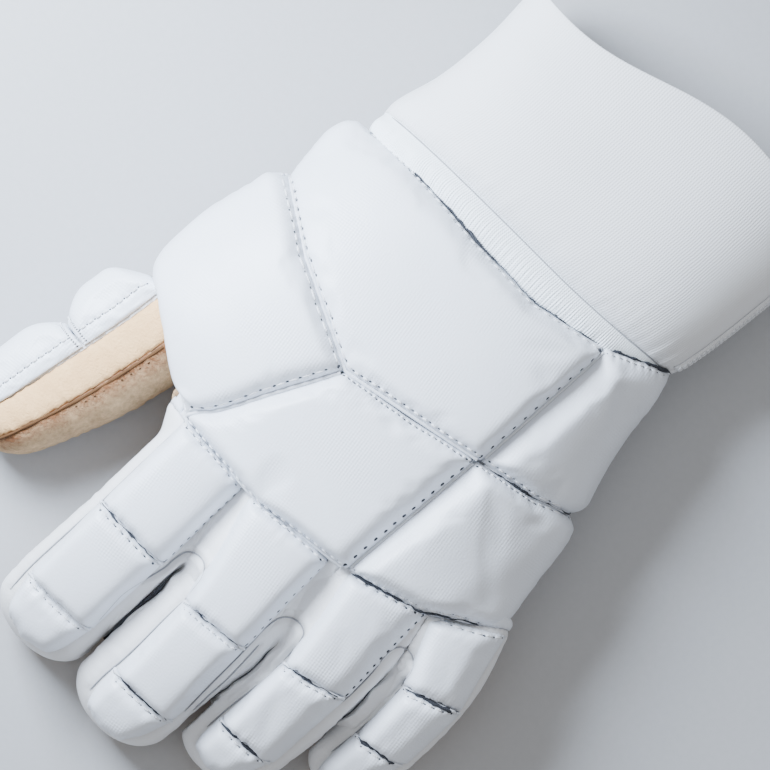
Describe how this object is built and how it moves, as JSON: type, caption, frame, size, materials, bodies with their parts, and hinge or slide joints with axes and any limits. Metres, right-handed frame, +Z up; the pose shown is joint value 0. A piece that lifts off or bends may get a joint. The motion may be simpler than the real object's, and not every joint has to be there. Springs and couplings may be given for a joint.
{
  "type": "bandy glove",
  "caption": "Padded left-hand ice sport glove lying palm down, with segmented back and finger pads, a natural leather palm and a wide elastic cuff.",
  "frame": {"origin": "on the surface the glove rests on, under the middle of its bounding box", "axes": "+Z up off the back of the hand, +Y from the fingertips to the cuff, +X from the thumb to the little finger"},
  "size_m": [0.2042, 0.3012, 0.0677],
  "materials": {
    "white_leather": "smooth cool white coated leather with a soft satin shine",
    "white_gusset": "thin supple white leather, matt, lightly creased",
    "tan_leather": "pale tan nubuck with a fine nap",
    "tan_suede": "darker tan napped suede",
    "cuff_fabric": "white woven elastic with fine ribs, matt",
    "ribbed_elastic": "white ribbed elastic tape, matt"
  },
  "bodies": {
    "root": {"palm_leather": "tan_leather", "hand_shell": "white_leather", "hand_side_thumb": "white_leather", "hand_side_little": "white_leather", "index_sleeve": "white_gusset", "index_palm": "tan_leather", "middle_sleeve": "white_gusset", "middle_palm": "tan_leather", "ring_sleeve": "white_gusset", "ring_palm": "tan_leather", "pinky_sleeve": "white_gusset", "pinky_palm": "tan_leather", "thumb_back": "white_gusset", "thumb_side": "tan_leather", "thumb_palm": "tan_suede", "back_pad_wrist": "white_leather", "back_pad_side_upper": "white_leather", "back_pad_thumb_side": "white_leather", "back_pad_middle": "white_leather", "back_pad_side_lower": "white_leather", "index_pad_1": "white_leather", "index_pad_2": "white_leather", "index_pad_3": "white_leather", "middle_pad_1": "white_leather", "middle_pad_2": "white_leather", "middle_pad_3": "white_leather", "ring_pad_1": "white_leather", "ring_pad_2": "white_leather", "ring_pad_3": "white_leather", "pinky_pad_1": "white_leather", "pinky_pad_2": "white_leather", "pinky_pad_3": "white_leather", "thumb_pad_1": "white_leather", "thumb_pad_2": "white_leather", "wrist_band": "ribbed_elastic", "cuff_back": "cuff_fabric", "cuff_under": "cuff_fabric", "cuff_side_tape": "cuff_fabric"}
  },
  "joints": []
}
